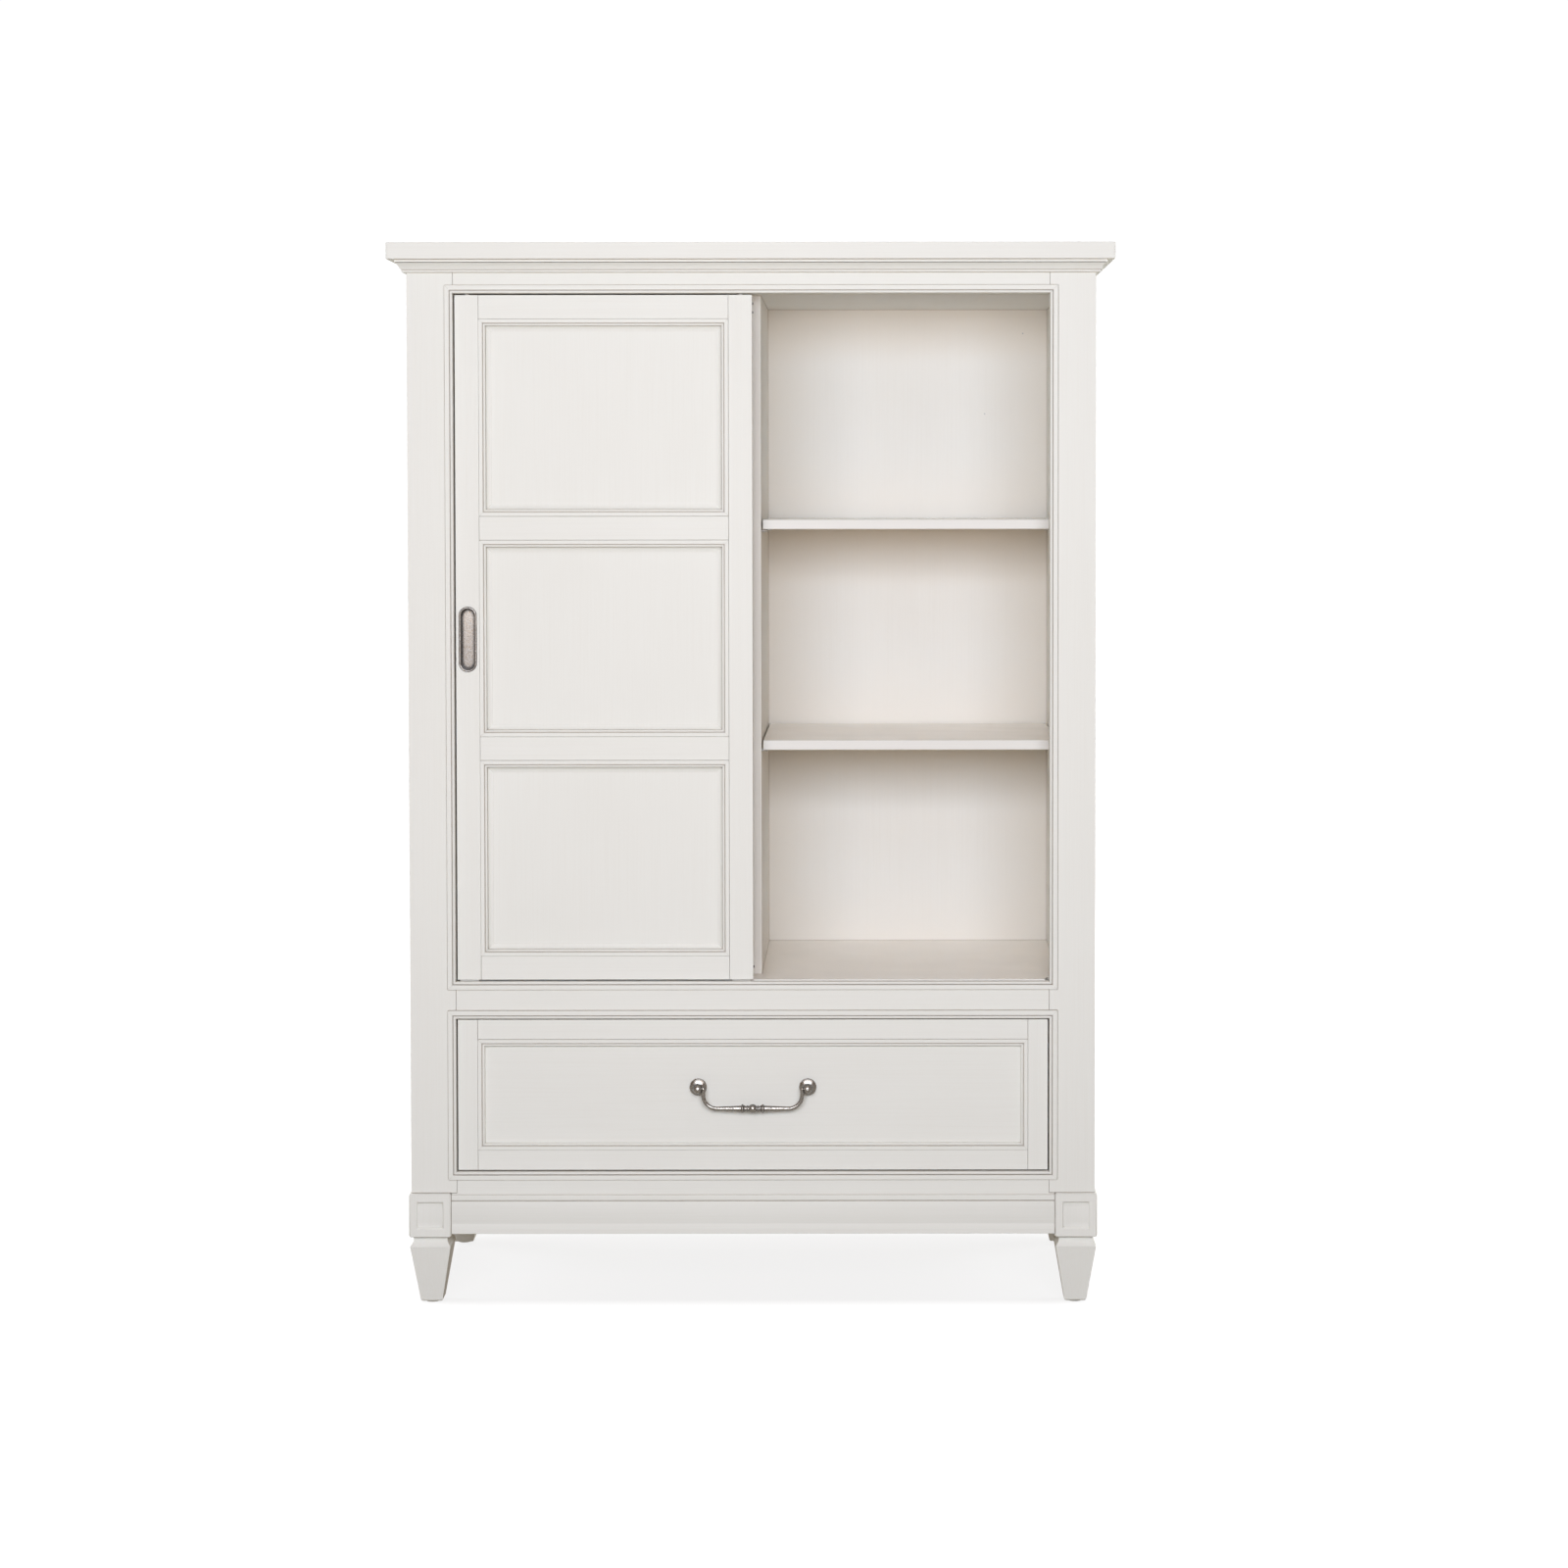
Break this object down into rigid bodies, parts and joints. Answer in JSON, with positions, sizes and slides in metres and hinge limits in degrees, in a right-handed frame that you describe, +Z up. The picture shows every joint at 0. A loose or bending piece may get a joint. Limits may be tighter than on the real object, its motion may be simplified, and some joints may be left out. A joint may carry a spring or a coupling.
{
  "type": "armoire",
  "caption": "White armoire on spade feet with bypass sliding panelled doors, shelves, a wide drawer with a bail pull, and a crown moulding.",
  "frame": {"origin": "centre of the footprint on the floor, at the bottom centre of the bounding box", "axes": "+X to the right, +Y to the back, +Z up; the doors and the drawer face -Y"},
  "size_m": [1.168, 0.483, 1.719],
  "materials": {
    "paint": "satin warm-white paint on wood",
    "raw_wood": "clear-lacquered plain wood",
    "nickel": "antique nickel, satin",
    "steel": "zinc-plated steel",
    "nylon": "off-white nylon",
    "rubber": "dark rubber"
  },
  "bodies": {
    "cabinet": {"top_panel": "paint", "crown_moulding": "paint", "front_post_left": "paint", "front_post_right": "paint", "rear_posts": "paint", "top_rail": "paint", "middle_rail": "paint", "bottom_rail": "paint", "back_rails": "raw_wood", "side_rails": "paint", "side_panels": "paint", "side_linings": "paint", "back_panel": "paint", "ceiling_panel": "paint", "deck_panel": "paint", "centre_divider": "paint", "dust_panel": "raw_wood", "door_opening_trim": "paint", "drawer_opening_trim": "paint", "base_blocks": "paint", "base_moulding": "paint", "feet": "paint", "foot_glides": "nylon", "corner_braces": "raw_wood", "shelf_left_low": "paint", "shelf_left_high": "paint", "shelf_right_low": "paint", "shelf_right_high": "paint", "shelf_pins": "steel", "top_track": "paint", "floor_guide": "nylon", "slide_cleats": "raw_wood", "slide_cabinet_members": "steel"},
    "front_door": {"front_door_stiles": "paint", "front_door_rails": "paint", "front_door_panels": "paint", "front_door_moulding": "paint", "front_door_pull": "nickel", "front_door_glides": "nylon", "front_door_guides": "nylon", "front_door_bumpers": "rubber"},
    "rear_door": {"rear_door_stiles": "paint", "rear_door_rails": "paint", "rear_door_panels": "paint", "rear_door_moulding": "paint", "rear_door_pull": "nickel", "rear_door_glides": "nylon", "rear_door_guides": "nylon"},
    "drawer": {"drawer_stiles": "paint", "drawer_rails": "paint", "drawer_panel": "paint", "drawer_moulding": "paint", "drawer_box_front": "raw_wood", "drawer_sides": "raw_wood", "drawer_back": "raw_wood", "drawer_bottom": "raw_wood", "drawer_slide_members": "steel", "drawer_pull_posts": "nickel"},
    "slide_middle": {"slide_middle_members": "steel"},
    "bail": {"drawer_bail": "nickel"}
  },
  "joints": [
    {"name": "front_door_slide", "type": "slide", "parent": "cabinet", "child": "front_door", "axis": [1, 0, 0], "range_m": [0, 0.4775]},
    {"name": "rear_door_slide", "type": "slide", "parent": "cabinet", "child": "rear_door", "axis": [1, 0, 0], "range_m": [0, 0.483]},
    {"name": "drawer_slide", "type": "slide", "parent": "cabinet", "child": "drawer", "axis": [0, -1, 0], "range_m": [0, 0.36]},
    {"name": "slide_middle_slide", "type": "slide", "parent": "cabinet", "child": "slide_middle", "axis": [0, -1, 0], "range_m": [0, 0.18]},
    {"name": "bail_hinge", "type": "hinge", "parent": "drawer", "child": "bail", "pos_m": [0, -0.2225, 0.35395], "axis": [-1, 0, 0], "range_deg": [-15, 95]}
  ],
  "couplings": [
    {"joint": "slide_middle_slide", "follows": "drawer_slide", "ratio": 0.5}
  ]
}
